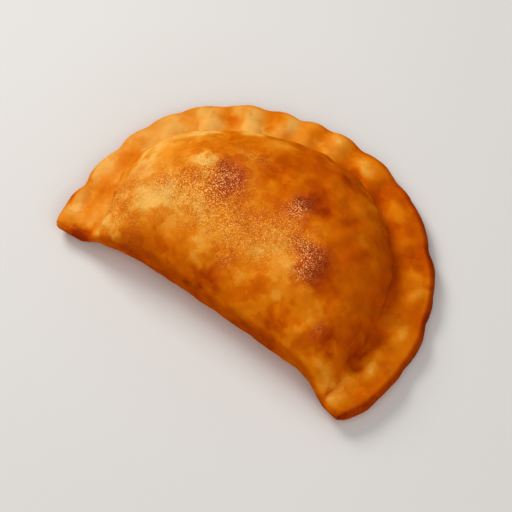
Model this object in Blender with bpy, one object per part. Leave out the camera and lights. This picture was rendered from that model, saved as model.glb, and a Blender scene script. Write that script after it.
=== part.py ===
"""Fried meat pastry: a half-moon turnover lying flat.

A round of dough is folded over its filling along a nearly straight fold and
pinched shut round the arc. The body is domed, the pinched rim runs round the
arc as a flat flange, and the two ends of the rim stick out as flat horns.

X runs along the fold, Y points from the fold to the arc, Z is up. The pastry
rests on a flat patch at z = 0, with the origin under the middle of its box.
"""
import bpy
import bmesh
import numpy as np
from types import SimpleNamespace

MM = 0.001
TINY = 0.001 * MM

# Outline seen from above: an arc made of pieces of superellipses, closed by the fold
ARC_CENTRE_X = 2.8 * MM
ARC_CENTRE_Y = 28.0 * MM
ARC_RADIUS_X = 77.6 * MM
ARC_RADIUS_FAR = 75.4 * MM      # from the centre away from the fold
LEFT_RADIUS_NEAR = 93.5 * MM    # from the centre towards the left horn
RIGHT_RADIUS_NEAR = 49.5 * MM   # from the centre towards the right horn
RIGHT_POWER = 2.7               # power of that last piece; the others are plain ellipses
LEFT_SWELL = 0.05               # how far the left shoulder bulges past the ellipse
LEFT_HORN_Y = -1.9 * MM
RIGHT_HORN_Y = -1.4 * MM
FOLD_Y = 5.4 * MM
FOLD_LEFT = -23.5 * MM          # the fold is straight between these
FOLD_RIGHT = 44.5 * MM
CORNER_SOFTNESS = 2.1 * MM      # how far the horns' corners are rubbed round

# Width of the pinched rim: (share of the arc from the left horn, width)
RIM_WIDTHS = ((0.0, 17 * MM), (0.12, 13 * MM), (0.18, 13 * MM), (0.25, 15.5 * MM), (0.36, 16.5 * MM),
              (0.45, 14.5 * MM), (0.56, 14 * MM), (0.63, 15 * MM), (0.7, 16.5 * MM), (0.77, 19 * MM),
              (0.85, 21.5 * MM), (0.92, 23 * MM), (1.0, 23 * MM))
WIDTH_BLUR = 0.04               # share of the arc over which those widths run together
WIDTH_SAMPLES = 9
NARROWEST_BODY = 1.0 * MM

# Heights
BODY_HEIGHT = 35.5 * MM
FOLD_LEVEL = 12.0 * MM          # where the fold bulges furthest
HORN_LEVEL = 5.6 * MM           # middle of the horns
RIM_LEVEL = 4.6 * MM            # middle of the rim
RIM_THICKNESS = 5.0 * MM
HORN_THICKNESS = 7.6 * MM
BELLY_ROUND = 16.0 * MM         # width of the curve from the flat patch up to the fold
BELLY_LIFT = 14.0 * MM          # width of the curve from the flat patch up to the rim
RIM_HOVER = 3.0 * MM            # how far the belly lies above the flat patch at the rim
HORN_HOVER = 8.0 * MM           # and at the horns, where only the dough's thickness limits it

# The dome, by its share of the way from the left horn to the right one
LEFT_END = 0.12                 # where it starts
RIGHT_END = 0.895               # where it stops
LEFT_RISE = 0.24                # how far from its ends it reaches its full height
RIGHT_RISE = 0.28
END_POWER = 1.9                 # superellipse power of its ends
END_SOFTNESS = 12.0 * MM        # stretch over which body and horn run together
RIDGE_SHARE = 0.46              # the ridge's place between the fold and the crease
FOLD_FLANK_POWER = 2.3          # superellipse powers of the two flanks
ARC_FLANK_POWER = 2.05
CREASE_SOFTNESS = 2.6 * MM
FOOT_DROP = 1.0 * MM            # how far the dome's foot lies below the rim's upper face
OUTSIDE_SLOPE = 2.0             # how steeply the dome's surface drops away past its foot
FOLD_FREE = 4.0 * MM            # strip along the fold that does not drop away

# Finger pinches: (distance along the arc from the left horn, strength)
PINCHES = ((22 * MM, 1.5), (44 * MM, 0.9), (60 * MM, 0.7), (75 * MM, 0.8), (94 * MM, 1.1),
           (112 * MM, 0.9), (126 * MM, 1.1), (139 * MM, 0.9), (155 * MM, 1.0), (176 * MM, 1.1),
           (210 * MM, 1.0), (243 * MM, 1.1), (265 * MM, 0.8), (283 * MM, 0.5))
PINCH_WIDTH = 4.8 * MM
PINCH_DEPTH_LEFT = 0.9 * MM
PINCH_DEPTH_RIGHT = 2.0 * MM
EDGE_WAVE = 0.5 * MM            # how far pillows stand out past pinches at the edge
EDGE_LIFT = 0.5 * MM            # how far pillows stand up above pinches at the edge
LIFT_START = 1.5                # rim widths from the edge where that lift begins
PILLOW_POWER = 0.7              # below 1 makes pillows fuller than a sine across the rim
WAVE_FADE = 22.0 * MM           # stretch at each horn over which pillows and pinches fade in

# Deep finger marks in the crease: (distance along the arc, depth)
PITS = ((160 * MM, 1.2 * MM), (181 * MM, 1.4 * MM), (197 * MM, 1.8 * MM), (214 * MM, 1.5 * MM),
        (236 * MM, 1.2 * MM), (258 * MM, 1.6 * MM), (278 * MM, 1.8 * MM))
PIT_RADIUS = 5.0 * MM

# Blisters and lumps of the upper crust: (x, y, radius, height)
LUMPS = tuple(tuple(value * MM for value in lump) for lump in (
    (-21, 48, 12, 1.7), (11.5, 55.5, 8, 1.5), (31, 35, 10, 1.7), (-41, 22, 10, 1.1),
    (-54.5, 11, 6, 1.0), (-34, 50, 9, 0.8), (-13.5, 16, 8, 0.9), (8, 18.5, 8, 0.8),
    (25, 23, 8, 0.8), (20, 12, 7, 0.7), (-20, 11.5, 7, 0.7), (51, 17, 7, 1.0),
    (57.5, 7, 5, 0.9), (51, 32, 6, 0.6), (2, 66, 8, 0.7)))
RELIEF_FADE = 10.0 * MM         # height above the dome's foot over which they fade in
# Low unevenness between them: (wavelength, direction in degrees, phase, height)
WAVES = ((37 * MM, 20.0, 0.4, 0.3 * MM), (27 * MM, 95.0, 1.9, 0.3 * MM),
         (21 * MM, 140.0, 3.1, 0.2 * MM), (15 * MM, 55.0, 5.0, 0.15 * MM))

# Facets
CUTS = 92                       # cuts between the two horns
CUT_POINTS = 58                 # points round each cut
UPPER_SHARE = 0.64              # share of those points on the upper side
BODY_SHARE = 0.62               # share of each side's points on the body, the rest on the rim
CUT_CROWDING = 0.4              # how far cuts are drawn towards the horns
POINT_CROWDING = 0.65           # how far a cut's points are drawn towards its edges and crease
CREASE_PLACES = (0.5, 0.95)     # limits of the crease's place across a cut
OUTLINE_POINTS = 600            # steps in which each half of the outline is worked out

CRUST_COLOUR = (0.66, 0.24, 0.025, 1.0)
CRUST_ROUGHNESS = 0.38


def smooth_step(x):
    x = np.clip(x, 0.0, 1.0)
    return x * x * (3.0 - 2.0 * x)


def crowd_ends(x, crowding):
    """Keeps 0 and 1 and draws what lies between towards them."""
    return (1.0 - crowding) * x + crowding * (1.0 - np.cos(np.pi * x)) / 2.0


def round_in(depth, radius):
    """Quarter circle: 0 at the edge, 1 once `radius` inside it."""
    return np.sqrt(1.0 - (1.0 - np.clip(depth / radius, 0.0, 1.0)) ** 2)


def smooth_max(a, b, blend):
    blend = np.maximum(blend, TINY)
    return np.maximum(a, b) + np.maximum(blend - np.abs(a - b), 0.0) ** 2 / (4.0 * blend)


def smooth_min(a, b, blend):
    return -smooth_max(-a, -b, blend)


def superellipse(x, power):
    """Height of a unit superellipse at x, with its crown at x = 0."""
    return (1.0 - np.clip(x, 0.0, 1.0) ** power) ** (1.0 / power)


def evenly_spaced(points, count):
    """The same line with evenly spaced points."""
    steps = np.linalg.norm(np.diff(points, axis=0), axis=1)
    along = np.concatenate(([0.0], np.cumsum(steps)))
    wanted = np.linspace(0.0, along[-1], count)
    return np.stack([np.interp(wanted, along, points[:, axis]) for axis in (0, 1)], axis=1)


def arc_line():
    """The outline's arc from the left horn to the right one, with sharp ends."""
    left = np.pi + np.arcsin((ARC_CENTRE_Y - LEFT_HORN_Y) / LEFT_RADIUS_NEAR)
    right = -np.arcsin(((ARC_CENTRE_Y - RIGHT_HORN_Y) / RIGHT_RADIUS_NEAR) ** (RIGHT_POWER / 2.0))
    angle = np.linspace(left, right, OUTLINE_POINTS)
    along_x, along_y = np.cos(angle), np.sin(angle)
    swell = 1.0 + LEFT_SWELL * np.sin(2.0 * angle) ** 2 * (along_x < 0.0)
    radius_near = np.where(along_x < 0.0, LEFT_RADIUS_NEAR, RIGHT_RADIUS_NEAR)
    radius_y = np.where(along_y > 0.0, ARC_RADIUS_FAR, radius_near)
    bend = 2.0 / np.where((along_x > 0.0) & (along_y < 0.0), RIGHT_POWER, 2.0)
    return np.stack([ARC_CENTRE_X + ARC_RADIUS_X * swell * np.sign(along_x) * np.abs(along_x) ** bend,
                     ARC_CENTRE_Y + radius_y * np.sign(along_y) * np.abs(along_y) ** bend], axis=1)


def fold_line(left, right):
    """The outline's fold between two horns: straight, then sweeping down to each."""
    x = np.linspace(left[0], right[0], OUTLINE_POINTS)
    sweep_left = (left[1] - FOLD_Y) * smooth_step((x - FOLD_LEFT) / (left[0] - FOLD_LEFT))
    sweep_right = (right[1] - FOLD_Y) * smooth_step((x - FOLD_RIGHT) / (right[0] - FOLD_RIGHT))
    return np.stack([x, FOLD_Y + sweep_left + sweep_right], axis=1)


def outline():
    """The arc and the fold, each from the left horn to the right one, with soft corners."""
    arc = arc_line()
    fold = fold_line(arc[0], arc[-1])
    loop = evenly_spaced(np.concatenate([arc, fold[::-1][1:]]), 4 * OUTLINE_POINTS)[:-1]
    spacing = np.linalg.norm(loop[1] - loop[0])
    for _ in range(int(2.0 * (CORNER_SOFTNESS / spacing) ** 2)):
        loop = (np.roll(loop, 1, axis=0) + 2.0 * loop + np.roll(loop, -1, axis=0)) / 4.0
    right = np.argmin(np.linalg.norm(loop - arc[-1], axis=1))
    loop = np.concatenate([loop, loop[:1]])
    return (evenly_spaced(loop[:right + 1], OUTLINE_POINTS),
            evenly_spaced(loop[:right - 1:-1], OUTLINE_POINTS))


def normals(line):
    """Unit normals of a line, to the left of its direction."""
    tangent = np.gradient(line, axis=0)
    tangent /= np.linalg.norm(tangent, axis=1, keepdims=True)
    return np.stack([-tangent[:, 1], tangent[:, 0]], axis=1)


def at_share(line, share):
    """Points of an evenly spaced line at shares of its length."""
    places = np.linspace(0.0, 1.0, len(line))
    return np.stack([np.interp(share, places, line[:, axis]) for axis in (0, 1)], axis=-1)


def rim_width(share):
    places, widths = zip(*RIM_WIDTHS)
    offsets = np.linspace(-WIDTH_BLUR, WIDTH_BLUR, WIDTH_SAMPLES)
    return sum(np.interp(share + offset, places, widths) for offset in offsets) / len(offsets)


def pinch_wave(distance):
    """1 on the pillows between the finger pinches, about -1 in the pinches."""
    return 1.0 - 2.0 * sum(strength * np.exp(-((distance - place) / PINCH_WIDTH) ** 2)
                           for place, strength in PINCHES)


def cuts_at(share):
    """All that the points of a cut have in common. A cut runs from the fold, square to it,
    to the arc, square to that; share 0 is the left horn and 1 the right one."""
    arc, fold = outline()
    start, end = at_share(fold, share), at_share(arc, share)
    chord = np.linalg.norm(end - start, axis=1)
    reach = chord[:, None] / 3.0
    outward = at_share(normals(arc), share)
    curve = np.stack([start, start + at_share(normals(fold), share) * reach, end - outward * reach, end])
    sides = np.linalg.norm(np.diff(curve, axis=0), axis=2).sum(axis=0)
    cut = SimpleNamespace(curve=curve, outward=outward)
    cut.length = np.maximum((chord + sides) / 2.0, TINY)
    arc_length = np.linalg.norm(np.diff(arc, axis=0), axis=1).sum()
    cut.distance = share * arc_length
    cut.to_horn = np.minimum(share, 1.0 - share) * arc_length
    cut.rim = rim_width(share)
    cut.body = np.maximum(cut.length - cut.rim, NARROWEST_BODY)
    fold_length = np.linalg.norm(np.diff(fold, axis=0), axis=1).sum()
    cut.past_end = np.minimum(share - LEFT_END, RIGHT_END - share) * fold_length
    cut.rise = (superellipse(1.0 - (share - LEFT_END) / LEFT_RISE, END_POWER)
                * superellipse(1.0 - (RIGHT_END - share) / RIGHT_RISE, END_POWER))
    cut.bodied = smooth_step(0.5 + cut.past_end / END_SOFTNESS)     # 0 on the horns, 1 along the body
    cut.thickness = HORN_THICKNESS + (RIM_THICKNESS - HORN_THICKNESS) * cut.bodied
    cut.rim_level = HORN_LEVEL + (RIM_LEVEL - HORN_LEVEL) * cut.bodied
    cut.fold_level = HORN_LEVEL + (FOLD_LEVEL - HORN_LEVEL) * cut.bodied
    cut.wave = pinch_wave(cut.distance) * smooth_step(cut.to_horn / WAVE_FADE)
    cut.pinch_depth = PINCH_DEPTH_LEFT + (PINCH_DEPTH_RIGHT - PINCH_DEPTH_LEFT) * smooth_step(share)
    return cut


def plan_points(cut, across):
    """Places seen from above; across is 0 at the fold and 1 at the arc."""
    back = 1.0 - across
    weights = np.stack([back ** 3, 3.0 * across * back ** 2, 3.0 * across ** 2 * back, across ** 3])
    points = (weights[:, :, None] * cut.curve).sum(axis=0)
    return points + cut.outward * (EDGE_WAVE * cut.wave * across ** 4)[:, None]


def crust_relief(x, y):
    """Blisters, lumps and the low unevenness of the upper crust."""
    relief = sum(height * np.exp(-((x - lump_x) ** 2 + (y - lump_y) ** 2) / radius ** 2)
                 for lump_x, lump_y, radius, height in LUMPS)
    for length, degrees, phase, height in WAVES:
        along = x * np.cos(np.radians(degrees)) + y * np.sin(np.radians(degrees))
        relief = relief + height * np.sin(2.0 * np.pi * along / length + phase)
    return relief


def dome(cut, to_fold, plan):
    """Height of the filled body, which drops away past the crease."""
    foot = cut.rim_level + cut.thickness / 2.0 - FOOT_DROP
    crown = foot + (BODY_HEIGHT - foot) * cut.rise
    ridge = RIDGE_SHARE * cut.body
    near = superellipse((ridge - to_fold) / ridge, FOLD_FLANK_POWER)
    far = superellipse((to_fold - ridge) / (cut.body - ridge), ARC_FLANK_POWER)
    height = np.where(to_fold < ridge, cut.fold_level + (crown - cut.fold_level) * near,
                      foot + (crown - foot) * far)
    relief = crust_relief(*plan.T) * smooth_step((height - foot) / RELIEF_FADE)
    outside = np.maximum(to_fold - cut.body, 0.0) + np.maximum(-cut.past_end, 0.0)
    return height + relief - OUTSIDE_SLOPE * outside * smooth_step(to_fold / FOLD_FREE)


def pits(cut, to_arc):
    """Depth of the finger marks in the crease."""
    return sum(depth * np.exp(-((cut.distance - place) ** 2 + (to_arc - cut.rim) ** 2) / PIT_RADIUS ** 2)
               for place, depth in PITS)


def skin(share, turn):
    """Points of the crust: share 0 to 1 from horn to horn, turn 0 to 1 round a cut,
    first over the upper side from fold to arc and then back underneath."""
    cut = cuts_at(share)
    upper = turn < UPPER_SHARE
    way = np.where(upper, turn / UPPER_SHARE, (1.0 - turn) / (1.0 - UPPER_SHARE))
    crease = np.clip(cut.body / cut.length, *CREASE_PLACES)
    on_body = crowd_ends(np.clip(way / BODY_SHARE, 0.0, 1.0), POINT_CROWDING)
    on_rim = crowd_ends(np.clip((way - BODY_SHARE) / (1.0 - BODY_SHARE), 0.0, 1.0), POINT_CROWDING)
    across = crease * on_body + (1.0 - crease) * on_rim
    plan = plan_points(cut, across)
    to_fold = across * cut.length
    to_arc = cut.length - to_fold

    half = cut.thickness / 2.0
    edge = round_in(to_fold, half) * round_in(to_arc, half) * round_in(cut.to_horn, half)
    level = cut.fold_level + (cut.rim_level - cut.fold_level) * smooth_step(across)
    level = level + EDGE_LIFT / 2.0 * cut.wave * smooth_step(LIFT_START - to_arc / cut.rim)
    within_rim = np.sin(np.pi * np.clip(to_arc / cut.rim, 0.0, 1.0)) ** PILLOW_POWER
    pillow = cut.pinch_depth / 2.0 * cut.wave * within_rim * edge
    body = dome(cut, to_fold, plan)
    top = smooth_max(level + half * edge + pillow, body, CREASE_SOFTNESS * edge)
    top = top - pits(cut, to_arc) * edge

    belly = (cut.fold_level * (1.0 - round_in(to_fold, BELLY_ROUND))
             + RIM_HOVER * smooth_step(1.0 - (to_arc - cut.rim) / BELLY_LIFT)
             + HORN_HOVER * (1.0 - cut.bodied))
    bottom = np.maximum(smooth_min(level - half * edge, belly, CREASE_SOFTNESS * edge), 0.0)
    return np.column_stack([plan, np.where(upper, top, bottom)])


def crust_material():
    material = bpy.data.materials.new("fried_crust")
    material.use_nodes = True
    shader = material.node_tree.nodes["Principled BSDF"]
    shader.inputs["Base Color"].default_value = CRUST_COLOUR
    shader.inputs["Roughness"].default_value = CRUST_ROUGHNESS
    shader.inputs["Metallic"].default_value = 0.0
    return material


def make_pastry(collection):
    """A sphere with its poles at the horns, each of its rings drawn into one cut."""
    work = bmesh.new()
    bmesh.ops.create_uvsphere(work, u_segments=CUT_POINTS, v_segments=CUTS, radius=1.0)
    unit = np.array([vertex.co for vertex in work.verts])
    polar = np.arccos(np.clip(unit[:, 2], -1.0, 1.0)) / np.pi
    share = crowd_ends(polar, CUT_CROWDING)
    turn = np.mod(np.arctan2(unit[:, 1], unit[:, 0]) / (2.0 * np.pi), 1.0)
    points = skin(share, turn)
    low, high = points.min(axis=0), points.max(axis=0)
    points -= ((low[0] + high[0]) / 2.0, (low[1] + high[1]) / 2.0, low[2])
    for vertex, point in zip(work.verts, points):
        vertex.co = point
    bmesh.ops.recalc_face_normals(work, faces=work.faces)
    mesh = bpy.data.meshes.new("pastry")
    work.to_mesh(mesh)
    work.free()
    mesh.shade_smooth()
    mesh.materials.append(crust_material())
    collection.objects.link(bpy.data.objects.new("pastry", mesh))


def main():
    for old in list(bpy.data.objects):
        bpy.data.objects.remove(old)
    collection = bpy.data.collections.new("fried_meat_pastry")
    bpy.context.scene.collection.children.link(collection)
    make_pastry(collection)


main()
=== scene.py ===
"""Looks of the fried meat pastry: its crust as one fine mesh with a fried-dough material,
on a pale floor in soft studio light.

Places on the pastry are given in the plan its outline is drawn in: X along the fold,
Y from the fold to the arc. The finished mesh is then set in the solid's own box.
"""
from types import SimpleNamespace

import bpy
import bmesh
import numpy as np
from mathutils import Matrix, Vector, noise


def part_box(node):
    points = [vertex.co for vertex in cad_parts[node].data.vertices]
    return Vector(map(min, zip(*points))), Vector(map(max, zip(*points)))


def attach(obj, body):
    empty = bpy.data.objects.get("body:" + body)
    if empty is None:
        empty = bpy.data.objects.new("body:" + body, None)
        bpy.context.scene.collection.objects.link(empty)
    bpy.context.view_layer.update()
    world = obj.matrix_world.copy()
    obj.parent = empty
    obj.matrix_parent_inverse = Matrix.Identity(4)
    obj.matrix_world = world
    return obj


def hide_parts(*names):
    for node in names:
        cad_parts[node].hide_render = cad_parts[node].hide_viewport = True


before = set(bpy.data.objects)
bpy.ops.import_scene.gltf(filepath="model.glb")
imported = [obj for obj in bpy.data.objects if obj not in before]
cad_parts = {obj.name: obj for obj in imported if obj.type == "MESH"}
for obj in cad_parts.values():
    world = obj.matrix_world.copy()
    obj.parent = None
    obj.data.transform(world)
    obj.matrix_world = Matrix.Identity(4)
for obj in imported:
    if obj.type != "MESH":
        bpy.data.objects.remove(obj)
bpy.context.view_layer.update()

MM = 0.001
TINY = 0.001 * MM

# ---------------------------------------------------------------- the pastry's form

# Outline seen from above: an arc made of pieces of superellipses, closed by the fold
ARC_CENTRE_X = 2.8 * MM
ARC_CENTRE_Y = 28.0 * MM
ARC_RADIUS_X = 77.6 * MM
ARC_RADIUS_FAR = 75.4 * MM
LEFT_RADIUS_NEAR = 93.5 * MM
RIGHT_RADIUS_NEAR = 49.5 * MM
RIGHT_POWER = 2.7
LEFT_SWELL = 0.05
LEFT_HORN_Y = -1.9 * MM
RIGHT_HORN_Y = -1.4 * MM
FOLD_Y = 5.4 * MM
FOLD_LEFT = -23.5 * MM
FOLD_RIGHT = 44.5 * MM
CORNER_SOFTNESS = 2.1 * MM

# Width of the pinched rim: (share of the arc from the left horn, width)
RIM_WIDTHS = (
    (0.0, 17 * MM), (0.12, 13 * MM), (0.18, 13 * MM), (0.25, 15.5 * MM), (0.36, 16.5 * MM),
    (0.45, 14.5 * MM), (0.56, 14 * MM), (0.63, 15 * MM), (0.7, 16.5 * MM), (0.77, 19 * MM),
    (0.85, 21.5 * MM), (0.92, 23 * MM), (1.0, 23 * MM))
WIDTH_BLUR = 0.04
WIDTH_SAMPLES = 9
NARROWEST_BODY = 1.0 * MM

# Heights
BODY_HEIGHT = 35.5 * MM
FOLD_LEVEL = 12.0 * MM
HORN_LEVEL = 5.6 * MM
RIM_LEVEL = 4.6 * MM
RIM_THICKNESS = 5.0 * MM
HORN_THICKNESS = 7.6 * MM
BELLY_ROUND = 16.0 * MM
BELLY_LIFT = 14.0 * MM
RIM_HOVER = 3.0 * MM
HORN_HOVER = 8.0 * MM

# The dome, by its share of the way from the left horn to the right one
LEFT_END = 0.12
RIGHT_END = 0.895
LEFT_RISE = 0.24
RIGHT_RISE = 0.28
END_POWER = 1.9
END_SOFTNESS = 12.0 * MM
RIDGE_SHARE = 0.46
FOLD_FLANK_POWER = 2.3
ARC_FLANK_POWER = 2.05
FOOT_DROP = 1.0 * MM
OUTSIDE_SLOPE = 2.0
FOLD_FREE = 4.0 * MM
DOME_EDGE = 3.0 * MM            # above the rim, over which the dome's own crust sets in

# The crease between the dome and the rim
CREASE_SOFTNESS = 2.6 * MM
RIGHT_CREASE_SOFTNESS = 5.0 * MM
RIGHT_CREASE_SHARES = (0.4, 0.4 + 1.0 / 3.0)    # of the arc, over which the right's crease sets in

# Finger pinches: (distance along the arc from the left horn, strength)
PINCHES = (
    (22 * MM, 1.5), (44 * MM, 0.9), (60 * MM, 0.7), (75 * MM, 0.8), (94 * MM, 1.1),
    (112 * MM, 0.9), (126 * MM, 1.1), (139 * MM, 0.9), (155 * MM, 1.0), (176 * MM, 1.1),
    (210 * MM, 1.0), (243 * MM, 1.1), (265 * MM, 0.8), (283 * MM, 0.5))
PINCH_WIDTH = 4.8 * MM
PINCH_DEPTH_LEFT = 0.9 * MM
PINCH_DEPTH_RIGHT = 2.0 * MM
EDGE_WAVE = 0.5 * MM
EDGE_LIFT = 0.5 * MM
LIFT_START = 1.5
PILLOW_POWER = 0.7
WAVE_FADE = 22.0 * MM

# Deep finger marks in the crease: (distance along the arc, depth)
PITS = (
    (160 * MM, 1.2 * MM), (181 * MM, 1.4 * MM), (197 * MM, 1.8 * MM), (214 * MM, 1.5 * MM),
    (236 * MM, 1.2 * MM), (258 * MM, 1.6 * MM), (278 * MM, 1.8 * MM))
PIT_RADIUS = 5.0 * MM

# Blisters and lumps of the upper crust: (x, y, radius, height)
LUMPS = tuple(tuple(value * MM for value in lump) for lump in (
    (-21, 48, 12, 1.7), (11.5, 55.5, 8, 1.5), (31, 35, 10, 1.7), (-41, 22, 10, 1.1),
    (-54.5, 11, 6, 1.0), (-34, 50, 9, 0.8), (-13.5, 16, 8, 0.9), (8, 18.5, 8, 0.8),
    (25, 23, 8, 0.8), (20, 12, 7, 0.7), (-20, 11.5, 7, 0.7), (51, 17, 7, 1.0),
    (57.5, 7, 5, 0.9), (51, 32, 6, 0.6), (2, 66, 8, 0.7)))
RELIEF_FADE = 10.0 * MM
# Low unevenness between them: (wavelength, direction in degrees, phase, height)
WAVES = ((37 * MM, 20.0, 0.4, 0.3 * MM), (27 * MM, 95.0, 1.9, 0.3 * MM),
         (21 * MM, 140.0, 3.1, 0.2 * MM), (15 * MM, 55.0, 5.0, 0.15 * MM))

# Facets
CUTS = 360                      # cuts between the two horns
CUT_POINTS = 274                # points round each cut
CUT_SAMPLES = 720               # steps in which a cut is measured before its points are set
UNDER_WEIGHT = 0.3              # how close points lie underneath, against on top
UPPER_SHARE = 0.64
BODY_SHARE = 0.62
CUT_CROWDING = 0.4
POINT_CROWDING = 0.65
CREASE_PLACES = (0.5, 0.95)
OUTLINE_POINTS = 600


def smooth_step(x):
    x = np.clip(x, 0.0, 1.0)
    return x * x * (3.0 - 2.0 * x)


def between(x, start, end):
    """0 up to start and 1 from end on, rising smoothly between them."""
    return smooth_step((x - start) / (end - start))


def crowd_ends(x, crowding):
    """Keeps 0 and 1 and draws what lies between towards them."""
    return (1.0 - crowding) * x + crowding * (1.0 - np.cos(np.pi * x)) / 2.0


def round_in(depth, radius):
    """Quarter circle: 0 at the edge, 1 once `radius` inside it."""
    return np.sqrt(1.0 - (1.0 - np.clip(depth / radius, 0.0, 1.0)) ** 2)


def smooth_max(a, b, blend):
    blend = np.maximum(blend, TINY)
    return np.maximum(a, b) + np.maximum(blend - np.abs(a - b), 0.0) ** 2 / (4.0 * blend)


def smooth_min(a, b, blend):
    return -smooth_max(-a, -b, blend)


def superellipse(x, power):
    """Height of a unit superellipse at x, with its crown at x = 0."""
    return (1.0 - np.clip(x, 0.0, 1.0) ** power) ** (1.0 / power)


def evenly_spaced(points, count):
    """The same line with evenly spaced points."""
    steps = np.linalg.norm(np.diff(points, axis=0), axis=1)
    along = np.concatenate(([0.0], np.cumsum(steps)))
    wanted = np.linspace(0.0, along[-1], count)
    return np.stack([np.interp(wanted, along, points[:, axis]) for axis in (0, 1)], axis=1)


def arc_line():
    """The outline's arc from the left horn to the right one, with sharp ends."""
    left = np.pi + np.arcsin((ARC_CENTRE_Y - LEFT_HORN_Y) / LEFT_RADIUS_NEAR)
    right = -np.arcsin(((ARC_CENTRE_Y - RIGHT_HORN_Y) / RIGHT_RADIUS_NEAR) ** (RIGHT_POWER / 2.0))
    angle = np.linspace(left, right, OUTLINE_POINTS)
    along_x, along_y = np.cos(angle), np.sin(angle)
    swell = 1.0 + LEFT_SWELL * np.sin(2.0 * angle) ** 2 * (along_x < 0.0)
    radius_x = ARC_RADIUS_X * swell
    radius_near = np.where(along_x < 0.0, LEFT_RADIUS_NEAR, RIGHT_RADIUS_NEAR)
    radius_y = np.where(along_y > 0.0, ARC_RADIUS_FAR, radius_near)
    bend = 2.0 / np.where((along_x > 0.0) & (along_y < 0.0), RIGHT_POWER, 2.0)
    return np.stack([ARC_CENTRE_X + radius_x * np.sign(along_x) * np.abs(along_x) ** bend,
                     ARC_CENTRE_Y + radius_y * np.sign(along_y) * np.abs(along_y) ** bend], axis=1)


def fold_line(left, right):
    """The outline's fold between two horns: straight, then sweeping down to each."""
    x = np.linspace(left[0], right[0], OUTLINE_POINTS)
    sweep_left = (left[1] - FOLD_Y) * between(x, FOLD_LEFT, left[0])
    sweep_right = (right[1] - FOLD_Y) * between(x, FOLD_RIGHT, right[0])
    return np.stack([x, FOLD_Y + sweep_left + sweep_right], axis=1)


def outline():
    """The arc and the fold, each from the left horn to the right one, with soft corners."""
    arc = arc_line()
    fold = fold_line(arc[0], arc[-1])
    loop = evenly_spaced(np.concatenate([arc, fold[::-1][1:]]), 4 * OUTLINE_POINTS)[:-1]
    spacing = np.linalg.norm(loop[1] - loop[0])
    for _ in range(int(2.0 * (CORNER_SOFTNESS / spacing) ** 2)):
        loop = (np.roll(loop, 1, axis=0) + 2.0 * loop + np.roll(loop, -1, axis=0)) / 4.0
    right = np.argmin(np.linalg.norm(loop - arc[-1], axis=1))
    loop = np.concatenate([loop, loop[:1]])
    return (evenly_spaced(loop[:right + 1], OUTLINE_POINTS),
            evenly_spaced(loop[:right - 1:-1], OUTLINE_POINTS))


def normals(line):
    """Unit normals of a line, to the left of its direction."""
    tangent = np.gradient(line, axis=0)
    tangent /= np.linalg.norm(tangent, axis=1, keepdims=True)
    return np.stack([-tangent[:, 1], tangent[:, 0]], axis=1)


def at_share(line, share):
    """Points of an evenly spaced line at shares of its length."""
    places = np.linspace(0.0, 1.0, len(line))
    return np.stack([np.interp(share, places, line[:, axis]) for axis in (0, 1)], axis=-1)


def rim_width(share):
    places, widths = zip(*RIM_WIDTHS)
    offsets = np.linspace(-WIDTH_BLUR, WIDTH_BLUR, WIDTH_SAMPLES)
    return sum(np.interp(share + offset, places, widths) for offset in offsets) / len(offsets)


def pinch_wave(distance):
    """1 on the pillows between the finger pinches, about -1 in the pinches."""
    return 1.0 - 2.0 * sum(strength * np.exp(-((distance - place) / PINCH_WIDTH) ** 2)
                           for place, strength in PINCHES)


def cuts_at(share):
    """All that the points of a cut have in common. A cut runs from the fold, square to it,
    to the arc, square to that; share 0 is the left horn and 1 the right one."""
    arc, fold = outline()
    start, end = at_share(fold, share), at_share(arc, share)
    chord = np.linalg.norm(end - start, axis=1)
    reach = chord[:, None] / 3.0
    inward = at_share(normals(fold), share)
    outward = at_share(normals(arc), share)
    curve = np.stack([start, start + inward * reach, end - outward * reach, end])
    sides = np.linalg.norm(np.diff(curve, axis=0), axis=2).sum(axis=0)
    cut = SimpleNamespace(curve=curve, outward=outward)
    cut.length = np.maximum((chord + sides) / 2.0, TINY)
    arc_length = np.linalg.norm(np.diff(arc, axis=0), axis=1).sum()
    cut.distance = share * arc_length
    cut.to_horn = np.minimum(share, 1.0 - share) * arc_length
    cut.rim = rim_width(share)
    cut.body = np.maximum(cut.length - cut.rim, NARROWEST_BODY)
    fold_length = np.linalg.norm(np.diff(fold, axis=0), axis=1).sum()
    cut.past_end = np.minimum(share - LEFT_END, RIGHT_END - share) * fold_length
    cut.rise = (superellipse(1.0 - (share - LEFT_END) / LEFT_RISE, END_POWER)
                * superellipse(1.0 - (RIGHT_END - share) / RIGHT_RISE, END_POWER))
    # 0 on the horns, 1 along the body
    cut.bodied = smooth_step(0.5 + cut.past_end / END_SOFTNESS)
    cut.thickness = HORN_THICKNESS + (RIM_THICKNESS - HORN_THICKNESS) * cut.bodied
    cut.rim_level = HORN_LEVEL + (RIM_LEVEL - HORN_LEVEL) * cut.bodied
    cut.fold_level = HORN_LEVEL + (FOLD_LEVEL - HORN_LEVEL) * cut.bodied
    cut.wave = pinch_wave(cut.distance) * smooth_step(cut.to_horn / WAVE_FADE)
    cut.pinch_depth = PINCH_DEPTH_LEFT + (PINCH_DEPTH_RIGHT - PINCH_DEPTH_LEFT) * smooth_step(share)
    return cut


def plan_points(cut, across):
    """Places seen from above; across is 0 at the fold and 1 at the arc."""
    back = 1.0 - across
    weights = np.stack([back ** 3, 3.0 * across * back ** 2, 3.0 * across ** 2 * back, across ** 3])
    points = (weights[:, :, None] * cut.curve).sum(axis=0)
    return points + cut.outward * (EDGE_WAVE * cut.wave * across ** 4)[:, None]


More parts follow.
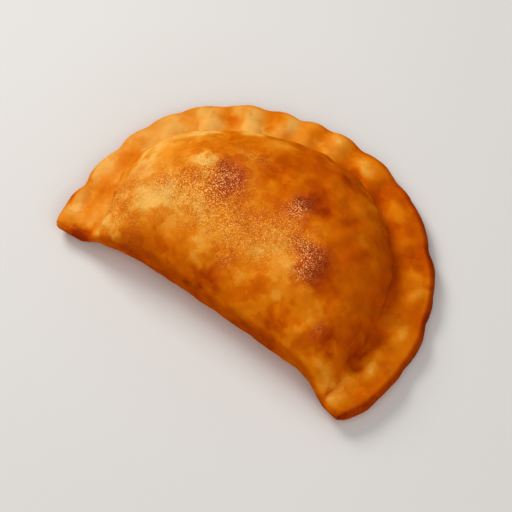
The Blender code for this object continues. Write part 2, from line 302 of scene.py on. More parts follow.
def crust_relief(x, y):
    """Blisters, lumps and the low unevenness of the upper crust."""
    relief = sum(height * np.exp(-((x - lump_x) ** 2 + (y - lump_y) ** 2) / radius ** 2)
                 for lump_x, lump_y, radius, height in LUMPS)
    for length, degrees, phase, height in WAVES:
        along = x * np.cos(np.radians(degrees)) + y * np.sin(np.radians(degrees))
        relief = relief + height * np.sin(2.0 * np.pi * along / length + phase)
    return relief


def dome(cut, to_fold, plan):
    """Height of the filled body, which drops away past the crease."""
    foot = cut.rim_level + cut.thickness / 2.0 - FOOT_DROP
    crown = foot + (BODY_HEIGHT - foot) * cut.rise
    ridge = RIDGE_SHARE * cut.body
    near = superellipse((ridge - to_fold) / ridge, FOLD_FLANK_POWER)
    far = superellipse((to_fold - ridge) / (cut.body - ridge), ARC_FLANK_POWER)
    height = np.where(to_fold < ridge, cut.fold_level + (crown - cut.fold_level) * near,
                      foot + (crown - foot) * far)
    relief = crust_relief(*plan.T) * smooth_step((height - foot) / RELIEF_FADE)
    outside = np.maximum(to_fold - cut.body, 0.0) + np.maximum(-cut.past_end, 0.0)
    return height + relief - OUTSIDE_SLOPE * outside * smooth_step(to_fold / FOLD_FREE)


def pits(cut, to_arc):
    """Depth of the finger marks in the crease."""
    off_crease = (to_arc - cut.rim) ** 2
    return sum(depth * np.exp(-((cut.distance - place) ** 2 + off_crease) / PIT_RADIUS ** 2)
               for place, depth in PITS)


def skin(share, turn):
    """Points of the crust and where each lies: share 0 to 1 from horn to horn, turn 0 to 1
    round a cut, first over the upper side from fold to arc and then back underneath."""
    cut = cuts_at(share)
    upper = turn < UPPER_SHARE
    way = np.where(upper, turn / UPPER_SHARE, (1.0 - turn) / (1.0 - UPPER_SHARE))
    crease = np.clip(cut.body / cut.length, *CREASE_PLACES)
    on_body = crowd_ends(np.clip(way / BODY_SHARE, 0.0, 1.0), POINT_CROWDING)
    on_rim = crowd_ends(np.clip((way - BODY_SHARE) / (1.0 - BODY_SHARE), 0.0, 1.0), POINT_CROWDING)
    across = crease * on_body + (1.0 - crease) * on_rim
    plan = plan_points(cut, across)
    to_fold = across * cut.length
    to_arc = cut.length - to_fold

    half = cut.thickness / 2.0
    edge = round_in(to_fold, half) * round_in(to_arc, half) * round_in(cut.to_horn, half)
    level = cut.fold_level + (cut.rim_level - cut.fold_level) * smooth_step(across)
    level = level + EDGE_LIFT / 2.0 * cut.wave * smooth_step(LIFT_START - to_arc / cut.rim)
    within_rim = np.sin(np.pi * np.clip(to_arc / cut.rim, 0.0, 1.0)) ** PILLOW_POWER
    pillow = cut.pinch_depth / 2.0 * cut.wave * within_rim * edge
    body = dome(cut, to_fold, plan)
    on_right = between(share, *RIGHT_CREASE_SHARES)
    softness = CREASE_SOFTNESS + (RIGHT_CREASE_SOFTNESS - CREASE_SOFTNESS) * on_right
    top = smooth_max(level + half * edge + pillow, body, softness * edge)
    top = top - pits(cut, to_arc) * edge

    belly = (cut.fold_level * (1.0 - round_in(to_fold, BELLY_ROUND))
             + RIM_HOVER * smooth_step(1.0 - (to_arc - cut.rim) / BELLY_LIFT)
             + HORN_HOVER * (1.0 - cut.bodied))
    bottom = np.maximum(smooth_min(level - half * edge, belly, CREASE_SOFTNESS * edge), 0.0)
    points = np.column_stack([plan, np.where(upper, top, bottom)])
    place = SimpleNamespace(cut=cut, share=share, upper=upper, plan=plan, to_fold=to_fold,
                            to_arc=to_arc, on_dome=smooth_step((body - level - half) / DOME_EDGE))
    return points, place


def even_turns(share):
    """For each cut the turns at which its points lie evenly, closer on top than underneath."""
    turn = np.linspace(0.0, 1.0, CUT_SAMPLES, endpoint=False)
    points, _ = skin(np.repeat(share, CUT_SAMPLES), np.tile(turn, len(share)))
    points = points.reshape(len(share), CUT_SAMPLES, 3)
    steps = np.linalg.norm(np.roll(points, -1, axis=1) - points, axis=2)
    steps = steps * np.where(turn < UPPER_SHARE, 1.0, UNDER_WEIGHT) + TINY
    along = np.concatenate([np.zeros((len(share), 1)), np.cumsum(steps, axis=1)], axis=1)
    wanted = np.linspace(0.0, 1.0, CUT_POINTS, endpoint=False)
    closed_turn = np.append(turn, 1.0)
    return np.stack([np.interp(wanted * row[-1], row, closed_turn) for row in along])


# ---------------------------------------------------------------- fine relief of the crust

# Patches, here and below, are soft and round: (x, y, radius along x, radius along y, strength),
# with places and radii in mm.

# Crust raised into fine blisters
GRAIN_PATCHES = (
    (-18, 46, 7, 6, 0.46), (-24, 40, 12, 10, 0.46), (-38, 29, 8, 7, 0.25), (-51, 17, 13, 11, 0.42),
    (-16, 30, 24, 10, 0.40), (-3, 32, 8, 8, 0.10), (11, 52, 4, 5, 0.80), (-31, 47, 5, 4, 0.30),
    (25, 40, 7, 5, 0.55), (30, 32, 5, 6, 0.50), (12, 40, 11, 8, 0.34), (8, 27, 12, 6, 0.16),
    (1, 18, 3, 3, 0.25), (48, 18, 2, 3, 0.16), (-17, 61, 7, 3, 0.25))
BLISTERS = 520
BLISTER_SEED = 11
BLISTER_FIELD_X = (-62, 58)     # mm
BLISTER_FIELD_Y = (6, 66)       # mm
BLISTER_RADII = (0.7 * MM, 2.4 * MM)
BLISTER_RARITY = 3              # power by which large ones are rarer
BLISTER_HEIGHT = 0.13           # of its radius
BLISTER_FLANK = 0.6             # of its radius

# Waves all over: (wavelength, height)
FINE_WAVES = ((9.0 * MM, 0.50 * MM), (5.0 * MM, 0.28 * MM), (2.4 * MM, 0.10 * MM))

# Folds down the right part of the dome's arc side
FLANK_FOLD_LENGTH = 11.0 * MM
FLANK_FOLD_HEIGHT = 0.35 * MM
FLANK_FOLD_BEND = 2.0
FLANK_BEND_LENGTH = 14.0 * MM
FLANK_SHARES = (0.4, 0.65)      # of the arc, over which they set in
FLANK_DEPTHS = (0.5, 1.0)       # of the way from the fold to the crease, over which they set in

PATCH_RISE = 0.9 * MM           # of the dome's palest patches
RIM_PATCH_RISE = 2.6 * MM
TIP = 5.0 * MM                  # from the horns over which the relief fades in
EDGE_FADE = 3.0 * MM            # from the outline over which the upper side's relief fades in
REST_FADE = (0.1 * MM, 2.1 * MM)    # heights over which the relief fades in above the floor

# Dents and knobs, mostly of the right end; their strength is a height in mm
KNOBS = (
    (61, 22, 4, 4, -1.2), (61, 34, 4, 6, -1.0), (56, 47, 3, 6, -0.6), (65, 20, 3, 2, -0.5),
    (58, 8, 4, 3, 0.9), (66, 5, 4, 4, 0.9), (62, 6, 1.3, 5, -0.6), (20, 93, 7, 6, 0.8),
    (12, 56, 7, 7, -0.5), (32, 35, 9, 9, -0.6))

# Shifts that make the edges of soft patches uneven: (wavelength, reach)
EDGE_SHIFTS = ((7.0 * MM, 4.0 * MM), (2.6 * MM, 1.8 * MM), (1.2 * MM, 0.7 * MM))

# Where in the noise each of these starts, so that no two look alike
WAVE_NOISE = 7.0
FOLD_NOISE = 31.0
SHIFT_X_NOISE = 40.0
SHIFT_Y_NOISE = 60.0


def patches_at(x, y, patches):
    """Sum of soft round patches."""
    return sum(strength * np.exp(-((x / MM - px) / rx) ** 2 - ((y / MM - py) / ry) ** 2)
               for px, py, rx, ry, strength in patches)


def grain_at(x, y):
    return np.clip(patches_at(x, y, GRAIN_PATCHES), 0.0, 1.0)


def field(points, wavelength, start):
    """Smooth noise of about -1 to 1 with the given wavelength."""
    return np.array([noise.noise(Vector(point)) for point in points / wavelength + start])


def uneven_plan(points, place):
    """The plan's x and y, each shifted about a little."""
    x, y = place.plan.T
    for index, (length, reach) in enumerate(EDGE_SHIFTS):
        x = x + reach * field(points, length, SHIFT_X_NOISE + index)
        y = y + reach * field(points, length, SHIFT_Y_NOISE + index)
    return np.array([x, y])


def small_blisters(x, y):
    """Round bubbles strewn over the grainy crust."""
    draw = np.random.default_rng(BLISTER_SEED)
    smallest, largest = BLISTER_RADII
    relief = np.zeros_like(x)
    placed = 0
    while placed < BLISTERS:
        spot_x = draw.uniform(*BLISTER_FIELD_X) * MM
        spot_y = draw.uniform(*BLISTER_FIELD_Y) * MM
        if draw.uniform() > grain_at(spot_x, spot_y):
            continue
        radius = smallest + (largest - smallest) * draw.uniform() ** BLISTER_RARITY
        away = (x - spot_x) ** 2 + (y - spot_y) ** 2
        relief += radius * BLISTER_HEIGHT * np.exp(-away / (BLISTER_FLANK * radius) ** 2)
        placed += 1
    return relief


def flank_folds(points, place):
    """Low folds that run down the right part of the dome's arc side."""
    bend = FLANK_FOLD_BEND * field(points, FLANK_BEND_LENGTH, FOLD_NOISE)
    folds = np.sin(2.0 * np.pi * place.cut.distance / FLANK_FOLD_LENGTH + bend)
    set_in = (between(place.to_fold / place.cut.body, *FLANK_DEPTHS)
              * between(place.share, *FLANK_SHARES))
    return FLANK_FOLD_HEIGHT * folds * set_in * place.on_dome


def fine_relief(points, place):
    """How far the crust stands out from its smooth form, square to its surface."""
    x, y = place.plan.T
    waves = sum(height * field(points, length, WAVE_NOISE * index)
                for index, (length, height) in enumerate(FINE_WAVES))
    bubbles = small_blisters(x, y) * place.on_dome
    knobs = patches_at(x, y, KNOBS) * MM
    raised = (RIM_PATCH_RISE * patches_at(x, y, RIM_PATCHES) * (1.0 - place.on_dome)
              + PATCH_RISE * patches_at(x, y, GOLDEN_PATCHES) * place.on_dome)
    on_top = place.upper * smooth_step(np.minimum(place.to_fold, place.to_arc) / EDGE_FADE)
    relief = waves + (bubbles + knobs + raised + flank_folds(points, place)) * on_top
    return relief * between(points[:, 2], *REST_FADE) * smooth_step(place.cut.to_horn / TIP)


# ---------------------------------------------------------------- how the crust browned, and light and shade painted into its colour

# Tone of the crust, from 0 deep brown through orange to 1 pale dough
DOME_TONE = 0.50
UNDER_TONE = 0.46
RIM_TONE_LEFT = 0.86
RIM_TONE_RIGHT = 0.38
RIM_TONE_SHARES = (3.0 / 11.0, 8.0 / 11.0)  # of the arc, over which the one becomes the other
PILLOW_HIGHLIGHT_TONE = 0.06               # painted highlight, added on the pillows between the pinches

# What is added to it along the outline and in the crease, most of it painted shade
# Painted shade on the arc's outer side, faint on the left and deep on the right
ARC_SIDE_SHADE_LEFT = -0.10
ARC_SIDE_SHADE_RIGHT = -0.46
ARC_SIDE_SHARES = (0.4, 0.8)    # of the arc, over which the one becomes the other
ARC_SIDE = (1.0 * MM, 3.0 * MM)     # distances from the arc over which it fades
# Painted shade on the crust near the fold
FOLD_SHADE_TONE = -0.08
FOLD_REACH = 6.0 * MM
# Painted shade on the fold's side, under its edge
FOLD_SIDE_SHADE = -0.28
FOLD_SIDE = (0.4 * MM, 2.4 * MM)    # distances from the fold over which it fades
FOLD_LINE_TONE = -0.08          # in the faint line that runs along the fold
FOLD_LINE = (4.2 * MM, 1.4 * MM)    # how far inside the fold it runs, and half its width
CREASE_SHADE_TONE = -0.14             # painted shade in the crease on the right
CREASE_LINE = (1.5 * MM, 3.5 * MM)  # how far inside the rim it is deepest, and half its width

# Unevenness all over: (wavelength, tone, where in the noise it starts)
TONE_WAVES = ((16.0 * MM, 0.06, 3.0), (6.0 * MM, 0.05, 5.0))

# Where the dome is paler and where it is browner; the strength is the tone added
# Pale patches: paler crust, and painted highlights in the small bright ones at the left end, round
# the crown, along the left crease and on the right horn's ridge
GOLDEN_PATCHES = (
    # the left end
    (-44, 26, 24, 18, 0.26), (-55, 47, 7, 11, 0.42), (-46, 22, 9, 8, 0.28), (-37, 23, 6, 4, 0.26),
    (-51, 7, 5, 3, 0.50), (-55, 12, 2, 4, 0.34), (-48, 3, 4, 3, 0.32), (-56, 34, 4, 6, 0.22),
    (-44, 62, 6, 5, 0.70), (-46, 55, 6, 6, 0.24), (-30, 75, 5, 3, 0.58), (-36, 70, 4, 3, 0.14),
    # round the crown
    (-29, 48, 6, 5, 0.88), (-27, 33, 8, 7, 0.18), (-24, 26, 12, 8, 0.20), (-19, 61, 5, 4, 0.20),
    (-14, 75, 6, 7, 0.24), (-10, 55, 5, 5, 0.20), (-5, 46, 4, 6, 0.12), (2, 66, 5, 5, 0.22),
    (3, 86, 5, 3, 0.20), (11, 83, 3, 3, 0.14), (20, 84, 5, 3, 0.16), (14, 73, 3, 5, 0.12),
    (0, 29, 26, 12, 0.22), (18, 33, 9, 8, 0.20), (14, 38, 8, 5, 0.15), (15, 47, 5, 3, 0.12),
    # along the fold
    (-14, 20, 6, 7, 0.14), (-12, 14, 4, 3, 0.20), (-6, 18, 3, 4, 0.14), (10, 26, 4, 5, 0.24),
    (10, 15, 3, 4, 0.15), (24, 17, 6, 5, 0.27), (-10, 7, 20, 2, 0.10), (20, 8, 12, 2, 0.08),
    (48, 5, 6, 3, 0.16),
    # the right end
    (26, 29, 4, 4, 0.28), (38, 23, 10, 6, 0.28), (36, 36, 3, 3, 0.12), (26, 52, 5, 8, 0.12),
    (25, 49, 3, 2, 0.12), (28, 76, 4, 8, 0.12), (38, 63, 3, 6, 0.14), (42, 60, 3, 3, 0.22),
    (47, 56, 3, 5, 0.12), (45, 42, 6, 6, 0.18), (50, 31, 3, 4, 0.20), (44, 25, 4, 4, 0.18),
    (40, 11, 3, 4, 0.18), (59, 20, 3, 3, 0.18), (58, 9, 6, 4, 0.30))
# Brown patches: browner crust, with painted shadow under the left horn and painted shade in the pit
# by the right crease
BROWN_PATCHES = (
    # the left end
    # the first two are painted shadow under the left horn
    (-60, 0, 6, 3, -0.70), (-57, 5, 3, 5, -0.19), (-60, 40, 3, 5, -0.27), (-40, 51, 5, 4, -0.17),
    (-33, 68, 6, 4, -0.10),
    # round the crown
    (-20, 49, 8, 5, -0.38), (-18, 43, 6, 6, -0.24), (-30, 54, 4, 3, -0.20), (-16, 35, 3, 3, -0.10),
    (-2, 38, 3, 3, -0.10), (-6, 63, 9, 7, -0.30), (-5, 57, 3, 3, -0.18), (0, 80, 16, 14, -0.26),
    (13, 62, 8, 8, -0.40), (16, 56, 6, 5, -0.34), (10, 55, 3, 4, -0.66), (17, 65, 3, 3, -0.16),
    (18, 80, 6, 6, -0.32), (24, 58, 5, 6, -0.20),
    # along the fold
    (-30, 9, 16, 4, -0.12), (-34, 6, 8, 3, -0.12), (-21, 10, 3, 4, -0.14), (-14, 6, 4, 2, -0.16),
    (-16, 16, 5, 3, -0.18), (-4, 9, 7, 3, -0.34), (0, 12, 6, 3, -0.16), (2, 20, 3, 3, -0.14),
    (19, 18, 5, 4, -0.23), (32, 13, 5, 4, -0.33), (33, 9, 4, 2, -0.16), (43, 11, 4, 3, -0.14),
    # the right end
    (47, 45, 18, 26, -0.26), (31, 30, 4, 4, -0.50), (37, 37, 5, 7, -0.34), (32, 41, 4, 7, -0.38),
    (26, 40, 5, 4, -0.12), (40, 33, 5, 4, -0.12), (47, 31, 2, 4, -0.14), (31, 62, 4, 5, -0.20),
    (41, 54, 5, 6, -0.12), (41, 71, 4, 6, -0.12), (51, 17, 5, 5, -0.38), (55, 16, 3, 4, -0.14),
    # the last two are painted shade in the pit by the crease
    (56, 23, 7, 10, -0.14), (60, 26, 3, 6, -0.20))
# The same for the rim and the horns: paler and browner crust, with painted light and shade
RIM_PATCHES = (
    # from the left horn upwards
    # the first, second and fourth are painted shadow under and beside the left horn
    (-61, 0, 6, 3, -0.85), (-57, 5, 3, 5, -0.28), (-63, 5, 4, 4, 0.16), (-75, 12, 3, 6, -0.60),
    (-64, 12, 6, 16, -0.12), (-70, 17, 3, 4, 0.22), (-65, 22, 5, 6, -0.30), (-60, 36, 3, 5, 0.10),
    (-66, 42, 4, 8, -0.20), (-71, 41, 3, 4, 0.14), (-62, 52, 3, 3, 0.12), (-60, 63, 5, 5, 0.12),
    (-56, 72, 3, 3, -0.14), (-47, 74, 5, 6, 0.26), (-42, 80, 5, 4, -0.36), (-34, 82, 5, 3, 0.28),
    (-39, 88, 4, 5, 0.14), (-30, 92, 4, 5, -0.25), (-24, 94, 4, 5, 0.32),
    # over the top
    (-15, 101, 3, 3, 0.10), (-12, 97, 4, 5, -0.20), (-3, 100, 5, 4, 0.24), (-5, 93, 4, 1, 0.20),
    (5, 93, 3, 4, -0.10), (11, 101, 6, 2, -0.20), (13, 94, 6, 4, 0.27), (13, 90, 7, 2, -0.44),
    (25, 93, 5, 6, -0.15), (27, 87, 4, 4, -0.24), (33, 89, 4, 4, 0.16), (35, 94, 7, 4, -0.30),
    (38, 84, 3, 3, 0.16), (38, 80, 6, 5, -0.22), (40, 91, 6, 3, -0.10),
    # and down to the right horn
    # pale lobes here are painted highlights on the pillows, dark ones painted shade in the dents
    # and in the pits by the crease
    (45, 84, 5, 4, -0.22), (47, 78, 5, 4, 0.14), (38, 74, 4, 3, -0.14), (45, 70, 6, 4, -0.28),
    (56, 76, 7, 6, -0.28), (58, 67, 5, 4, 0.24), (54, 61, 5, 6, -0.38), (65, 60, 3, 5, 0.34),
    (63, 47, 5, 5, 0.26), (57, 50, 4, 6, -0.30), (70, 44, 3, 4, 0.34), (60, 40, 2, 4, 0.18),
    (65, 37, 5, 4, -0.30), (74, 35, 4, 6, 0.20), (69, 29, 3, 5, 0.33), (61, 25, 3, 5, -0.34),
    (65, 25, 2, 3, 0.14), (65, 20, 3, 2, -0.18), (70, 21, 3, 5, 0.40), (66, 14, 4, 4, 0.20),
    (66, 6, 4, 6, 0.42), (61, 9, 3, 5, 0.20), (56, 8, 5, 3, 0.34), (73, 9, 2, 6, -0.12))

# Blisters fried to a pinkish brown
BLUSH_PATCHES = (
    (-18, 46, 7, 7, 1.0), (11.5, 52, 4, 5, 0.8), (30, 34, 5, 6, 0.50), (-39, 31, 7, 4, 0.3),
    (-54, 32, 5, 6, 0.25), (12, 37, 9, 6, 0.18), (-6, 34, 8, 5, 0.10), (48, 18, 2, 4, 0.3),
    (27, 40, 5, 4, 0.5), (-50, 25, 6, 5, 0.2))
RIM_BLUSH = 0.11                # of the left rim
RIM_BLUSH_SHARES = (0.15625, 0.46875)   # of the arc, over which it fades

# How patchy the crust fried, and where it did so evenly
PATCHINESS = 0.30
MOST_EVEN = 0.22                # taken from it at the most
EVEN_PATCHES = ((46, 52, 18, 26, 0.26), (2, 76, 30, 9, 0.16), (74, 40, 5, 50, 0.16),
                (-64, 60, 10, 30, 0.18), (-22, 96, 30, 8, 0.14))


def line_at(distance, line):
    """1 in the middle of a soft line given by its place and half its width."""
    middle, half_width = line
    return np.exp(-((distance - middle) / half_width) ** 2)


def dome_tone(place, uneven):
    return (DOME_TONE + patches_at(*uneven, GOLDEN_PATCHES + BROWN_PATCHES)
            # painted shade near the fold
            + FOLD_SHADE_TONE * (1.0 - smooth_step(place.to_fold / FOLD_REACH))
            + FOLD_LINE_TONE * line_at(place.to_fold, FOLD_LINE))


def rim_tone(place, uneven):
    on_right = between(place.share, *RIM_TONE_SHARES)
    half_uneven = (place.plan.T + uneven) / 2.0
    # the rim patches add crust colour with painted highlights and painted shade
    return (RIM_TONE_LEFT + (RIM_TONE_RIGHT - RIM_TONE_LEFT) * on_right
            # the last term is a painted highlight on the pillows between the pinches
            + patches_at(*half_uneven, RIM_PATCHES) + PILLOW_HIGHLIGHT_TONE * place.cut.wave)


def crust_tone(points, place):
    uneven = uneven_plan(points, place)
    on_rim = rim_tone(place, uneven)
    by_fold = place.cut.bodied * (1.0 - smooth_step(place.to_fold / FOLD_REACH))
    tone = on_rim + (dome_tone(place, uneven) - on_rim) * np.maximum(place.on_dome, by_fold)
    # painted shade in the crease on the right
    crease_shade = line_at(place.to_arc - place.cut.rim, CREASE_LINE)
    tone = tone + CREASE_SHADE_TONE * crease_shade * between(place.share, *RIGHT_CREASE_SHARES)
    tone = np.where(place.upper, tone, UNDER_TONE)
    # painted shade on the arc's outer side
    arc_side_shade = (ARC_SIDE_SHADE_LEFT + (ARC_SIDE_SHADE_RIGHT - ARC_SIDE_SHADE_LEFT)
                     * between(place.share, *ARC_SIDE_SHARES))
    tone = tone + arc_side_shade * (1.0 - between(place.to_arc, *ARC_SIDE))
    # painted shade on the fold's side
    tone = tone + FOLD_SIDE_SHADE * (1.0 - between(place.to_fold, *FOLD_SIDE))
    for length, height, start in TONE_WAVES:
        tone = tone + height * field(points, length, start)
    return tone


def crust_blush(place):
    """Where the upper crust is pinkish: 0 nowhere to 1."""
    blisters = np.clip(patches_at(*place.plan.T, BLUSH_PATCHES), 0.0, 1.0) * place.on_dome
    on_left = 1.0 - between(place.share, *RIM_BLUSH_SHARES)
    return (blisters + RIM_BLUSH * (1.0 - place.on_dome) * on_left) * place.upper


# ---------------------------------------------------------------- mesh

IRONINGS = 24
FOLDED = 0.8                    # below this cosine of its normal and its corner's, a face is folded


def fine_mesh():
    """A ring of points round each cut, closed by one point at each horn."""
    share = crowd_ends(np.linspace(0.0, 1.0, CUTS + 1), CUT_CROWDING)
    turn = even_turns(share)
    ring_share = np.repeat(share[1:-1], CUT_POINTS)
    points, place = skin(np.concatenate([share[:1], ring_share, share[-1:]]),
                         np.concatenate([turn[0, :1], turn[1:-1].ravel(), turn[-1, :1]]))

    ring = 1 + np.arange(len(ring_share)).reshape(-1, CUT_POINTS)
    beside = np.roll(ring, -1, axis=1)
    left_horn, right_horn = np.zeros_like(ring[0]), np.full_like(ring[0], len(points) - 1)
    bands = np.stack([ring[:-1], ring[1:], beside[1:], beside[:-1]], axis=-1)
    left_tip = np.stack([left_horn, ring[0], beside[0]], axis=-1)
    right_tip = np.stack([right_horn, beside[-1], ring[-1]], axis=-1)
    faces = [*bands.reshape(-1, 4).tolist(), *left_tip.tolist(), *right_tip.tolist()]
    mesh = bpy.data.meshes.new("crust")
    mesh.from_pydata(points, [], faces)
    mesh.shade_smooth()
    return mesh, points, place


def iron_folds(mesh):
    """Smooths the crust wherever its relief folds over itself."""
    work = bmesh.new()
    work.from_mesh(mesh)
    for _ in range(IRONINGS):
        work.normal_update()
        folded = {vertex for face in work.faces for vertex in face.verts
                  if face.normal.dot(vertex.normal) < FOLDED}
        around = {near for vertex in folded for edge in vertex.link_edges for near in edge.verts}
        around = sorted(around, key=lambda vertex: vertex.index)
        bmesh.ops.smooth_vert(work, verts=around, factor=0.5,
                              use_axis_x=True, use_axis_y=True, use_axis_z=True)
    work.to_mesh(mesh)
    work.free()


def give(mesh, name, values):
    attribute = mesh.attributes.new(name, "FLOAT", "POINT")
    attribute.data.foreach_set("value", values.astype(np.float32))


def make_crust():
    mesh, points, place = fine_mesh()
    outward = np.array([normal.vector for normal in mesh.vertex_normals])
    raised = points + outward * fine_relief(points, place)[:, None]
    raised[:, 2] = np.maximum(raised[:, 2], 0.0)
    low, high = points.min(axis=0), points.max(axis=0)
    box_low, box_high = (np.array(corner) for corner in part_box("pastry"))
    raised += (box_low + box_high - low - high) / 2.0 * (1, 1, 0) + (0, 0, box_low[2] - low[2])
    mesh.vertices.foreach_set("co", raised.astype(np.float32).ravel())
    iron_folds(mesh)
    x, y = place.plan.T
    give(mesh, "tone", crust_tone(points, place))
    give(mesh, "grain", grain_at(x, y) * place.on_dome * place.upper)
    give(mesh, "patchy", PATCHINESS - np.clip(patches_at(x, y, EVEN_PATCHES), 0.0, MOST_EVEN))
    give(mesh, "blush", crust_blush(place))
    mesh.update()
    crust = bpy.data.objects.new("crust", mesh)
    bpy.context.scene.collection.objects.link(crust)
    return crust


# ---------------------------------------------------------------- material

# Colours along the tone of the crust
CRUST_COLOURS = (
    (-0.2, (0.26, 0.023, 0.001)), (0.0, (0.41, 0.048, 0.001)), (0.2, (0.54, 0.082, 0.001)),
    (0.4, (0.66, 0.128, 0.001)), (0.6, (0.78, 0.205, 0.004)), (0.8, (0.88, 0.315, 0.024)),
    (1.0, (0.95, 0.490, 0.100)))
BLUSH_COLOUR = (0.49, 0.046, 0.014, 1.0)
# pale specks: painted glints on the tiny blisters
SPECK_GLINT_COLOUR = (0.98, 0.480, 0.125, 1.0)

# Small patches with wavy edges; scales are in cells a metre
PATCH_SCALE = 210.0
PATCH_EDGE = 0.25
WAVY_SCALE = 260.0
WAVY_REACH = 7.0 * MM

# Soft mottling: (scale, tone or share of the brightness)
MOTTLE = (150.0, 0.10)
SHADE = (160.0, 0.14)

# The grainy crust: freckles, a darker ground, and painted glints: sparkle and pale specks in clumps
FRECKLE_SCALE = 420.0
FRECKLE_TONE = 0.45
PLAIN_FRECKLE_TONE = 0.03
GRAIN_TONE = -0.30
GRIT_SCALE = 3500.0
GRIT_SLOPE = 6.0
GRIT_START = -3.6
CLUMP_SCALE = 500.0
CLUMP_MEAN = 0.9
SPECK_STRENGTH = 1.6
# sparkle: painted glitter of the blistered crust
SPARKLE = 1.7
SPARKLE_TONE = 0.30
BLUSH_STRENGTH = 0.8

ROUGHNESS = 0.34
TONE_ROUGHNESS = 0.10
FRECKLE_ROUGHNESS = 0.8
FRECKLE_HEIGHT = 1.2            # against a speck's
SPECK_HEIGHT = 0.12 * MM
CRUST_SHADER = {
    "Specular Tint": (1.0, 0.60, 0.18, 1.0), "Specular IOR Level": 0.0,
    "Subsurface Weight": 0.06, "Subsurface Scale": 2.0 * MM, "Subsurface Radius": (1.0, 0.4, 0.15)}


def add(tree, kind, inputs=(), **settings):
    """A new node; inputs maps a socket's name or number to a value or to another node's output."""
    made = tree.nodes.new(kind)
    for name, value in settings.items():
        setattr(made, name, value)
    for name, value in dict(inputs).items():
        if isinstance(value, bpy.types.NodeSocket):
            tree.links.new(value, made.inputs[name])
        else:
            made.inputs[name].default_value = value
    return made


def times(tree, a, b):
    return add(tree, "ShaderNodeMath", {0: a, 1: b}, operation="MULTIPLY").outputs[0]


def plus(tree, *terms):
    total = terms[0]
    for term in terms[1:]:
        total = add(tree, "ShaderNodeMath", {0: total, 1: term}, operation="ADD").outputs[0]
    return total


def mixed(tree, share, ground, cover):
    return add(tree, "ShaderNodeMix", {0: share, 6: ground, 7: cover},
               data_type="RGBA", clamp_factor=True).outputs[2]


def attribute(tree, name):
    return add(tree, "ShaderNodeAttribute", attribute_name=name).outputs["Fac"]


def noise_about_zero(tree, place, scale, height, detail=1.0):
    grey = add(tree, "ShaderNodeTexNoise",
               {"Vector": place, "Scale": scale, "Detail": detail}).outputs["Fac"]
    return add(tree, "ShaderNodeMath", {0: grey, 1: 2.0 * height, 2: -height},
               operation="MULTIPLY_ADD").outputs[0]


def wavy_patches(tree, place):
    """Small patches of different greys about 0."""
    waves = add(tree, "ShaderNodeTexNoise",
                {"Vector": place, "Scale": WAVY_SCALE, "Detail": 3.0}).outputs["Color"]
    shifted = add(tree, "ShaderNodeVectorMath", {0: waves, 1: (WAVY_REACH,) * 3, 2: place},
                  operation="MULTIPLY_ADD").outputs[0]
    patch = add(tree, "ShaderNodeTexVoronoi",
                {"Vector": shifted, "Scale": PATCH_SCALE, "Smoothness": PATCH_EDGE},
                feature="SMOOTH_F1").outputs["Color"]
    return plus(tree, patch, -0.5)


def crust_colour(tree, tone):
    """The crust's colour at a tone."""
    lowest, highest = CRUST_COLOURS[0][0], CRUST_COLOURS[-1][0]
    along = times(tree, plus(tree, tone, -lowest), 1.0 / (highest - lowest))
    ramp = add(tree, "ShaderNodeValToRGB", {"Fac": along})
    stops = ramp.color_ramp.elements
    while len(stops) < len(CRUST_COLOURS):
        stops.new(0.5)
    for stop, (position, colour) in zip(stops, CRUST_COLOURS):
        stop.position = (position - lowest) / (highest - lowest)
        stop.color = (*colour, 1.0)
    return ramp.outputs["Color"]


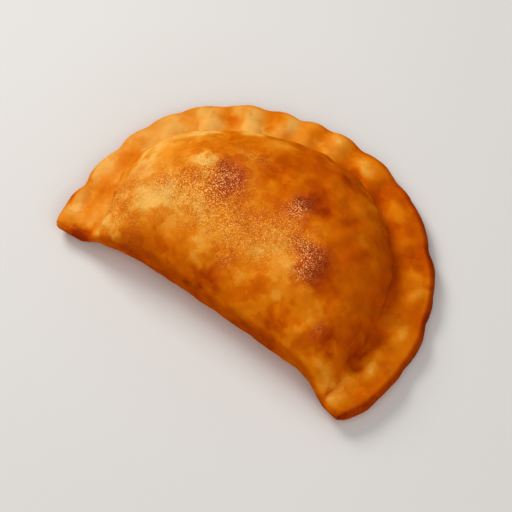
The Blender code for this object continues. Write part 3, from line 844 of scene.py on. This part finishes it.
def crust_material():
    material = bpy.data.materials.new("fried_crust_fine")
    material.use_nodes = True
    tree = material.node_tree
    shader = tree.nodes["Principled BSDF"]
    place = add(tree, "ShaderNodeTexCoord").outputs["Object"]
    tone, grain, blush, patchy = (attribute(tree, name)
                                  for name in ("tone", "grain", "blush", "patchy"))

    mottle = plus(tree, noise_about_zero(tree, place, *MOTTLE),
                  times(tree, wavy_patches(tree, place), patchy))
    shade = noise_about_zero(tree, place, *SHADE)
    freckle = times(tree, noise_about_zero(tree, place, FRECKLE_SCALE, 1.0, detail=2.0),
                    plus(tree, times(tree, grain, FRECKLE_TONE), PLAIN_FRECKLE_TONE))
    cells = add(tree, "ShaderNodeTexVoronoi",
                {"Vector": place, "Scale": GRIT_SCALE}).outputs["Color"]
    grit = add(tree, "ShaderNodeMath", {0: cells, 1: GRIT_SLOPE, 2: GRIT_START},
               operation="MULTIPLY_ADD", use_clamp=True).outputs[0]
    clump = plus(tree, noise_about_zero(tree, place, CLUMP_SCALE, 1.0), CLUMP_MEAN)
    # pale specks: painted glints, also raised as fine bumps
    specks = times(tree, times(tree, grit, clump), times(tree, grain, SPECK_STRENGTH))
    # sparkle: painted glitter that lightens and darkens the colour
    sparkle = times(tree, times(tree, grain, SPARKLE), plus(tree, cells, -0.5))

    ground = plus(tree, freckle, times(tree, grain, GRAIN_TONE))
    total = plus(tree, plus(tree, tone, mottle), ground, times(tree, sparkle, SPARKLE_TONE))
    fried = crust_colour(tree, total)
    blushed = mixed(tree, times(tree, blush, BLUSH_STRENGTH), fried, BLUSH_COLOUR)
    specked = mixed(tree, specks, blushed, SPECK_GLINT_COLOUR)
    # the soft shade and the painted glitter scale the colour
    brightness = plus(tree, shade, sparkle, 1.0)
    colour = add(tree, "ShaderNodeVectorMath", {0: specked, "Scale": brightness},
                 operation="SCALE").outputs[0]
    tree.links.new(colour, shader.inputs["Base Color"])

    rough = plus(tree, times(tree, freckle, FRECKLE_ROUGHNESS),
                 plus(tree, times(tree, tone, TONE_ROUGHNESS), ROUGHNESS))
    tree.links.new(rough, shader.inputs["Roughness"])
    for name, value in CRUST_SHADER.items():
        shader.inputs[name].default_value = value

    height = plus(tree, specks, times(tree, freckle, FRECKLE_HEIGHT))
    bump = add(tree, "ShaderNodeBump",
               {"Height": height, "Strength": 1.0, "Distance": SPECK_HEIGHT})
    tree.links.new(bump.outputs["Normal"], shader.inputs["Normal"])
    return material


# ---------------------------------------------------------------- studio

AZIMUTH = np.radians(37.65)         # the camera's, from straight before the fold
ELEVATION = np.radians(63.3)
PIXEL = 0.4085 * MM                 # of the 512-pixel picture, at the pastry
PICTURE = 512
ORIGIN_PIXEL = (278.4, 239.5)       # where the pastry's origin lies in the picture
LENS = 300.0
SENSOR = 36.0
KEY_LIGHT = {"side": (-0.73, 0.18, 0.67), "distance": 0.9, "size": 0.45,
             "power": 4.9, "colour": (1.0, 0.97, 0.93)}
TOP_LIGHT = {"side": (0.46, -0.38, 0.85), "distance": 1.0, "size": 1.4,
             "power": 5.5, "colour": (1.0, 0.98, 0.96)}
LIGHT_AIM = (0.0, 0.0, 10.0 * MM)
SURROUND = 0.22                     # brightness of the white all round
FLOOR_SIZE = 12.0
FLOOR_GAP = 0.1 * MM
FLOOR_COLOUR = (0.80, 0.79, 0.77, 1.0)
FLOOR_ROUGHNESS = 0.9


def picture_axes():
    """The picture's right and up, and the way towards the camera."""
    back = np.array([np.sin(AZIMUTH) * np.cos(ELEVATION), -np.cos(AZIMUTH) * np.cos(ELEVATION),
                     np.sin(ELEVATION)])
    right = np.cross((0.0, 0.0, 1.0), back)
    right /= np.linalg.norm(right)
    return right, np.cross(back, right), back


def aimed(item, spot, target):
    """Puts an object at a spot, looking at a target."""
    item.location = Vector(spot)
    item.rotation_euler = (Vector(target) - Vector(spot)).to_track_quat("-Z", "Y").to_euler()
    bpy.context.scene.collection.objects.link(item)


def make_camera():
    right, up, back = picture_axes()
    middle = PICTURE / 2.0
    aim = (right * (middle - ORIGIN_PIXEL[0]) - up * (middle - ORIGIN_PIXEL[1])) * PIXEL
    lens = bpy.data.cameras.new("camera")
    lens.lens = LENS
    lens.sensor_width = SENSOR
    camera = bpy.data.objects.new("camera", lens)
    aimed(camera, aim + back * PIXEL * PICTURE * LENS / SENSOR, aim)
    bpy.context.scene.camera = camera


def make_light(name, side, distance, size, power, colour):
    lamp = bpy.data.lights.new(name, "AREA")
    lamp.shape = "DISK"
    lamp.size = size
    lamp.energy = power
    lamp.color = colour
    aimed(bpy.data.objects.new(name, lamp), Vector(side).normalized() * distance, LIGHT_AIM)


def make_floor():
    bpy.ops.mesh.primitive_plane_add(size=FLOOR_SIZE, location=(0.0, 0.0, -FLOOR_GAP))
    floor = bpy.context.object
    floor.name = "floor"
    plain = bpy.data.materials.new("floor")
    plain.use_nodes = True
    shader = plain.node_tree.nodes["Principled BSDF"]
    shader.inputs["Base Color"].default_value = FLOOR_COLOUR
    shader.inputs["Roughness"].default_value = FLOOR_ROUGHNESS
    floor.data.materials.append(plain)


def make_studio():
    make_light("key", **KEY_LIGHT)
    make_light("top", **TOP_LIGHT)
    world = bpy.data.worlds.new("studio")
    world.use_nodes = True
    background = world.node_tree.nodes["Background"]
    background.inputs["Color"].default_value = (1.0, 1.0, 1.0, 1.0)
    background.inputs["Strength"].default_value = SURROUND
    bpy.context.scene.world = world
    bpy.context.scene.view_settings.view_transform = "Standard"
    make_floor()


make_camera()
make_studio()
crust = make_crust()
crust.data.materials.append(crust_material())
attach(crust, "root")
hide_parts("pastry")
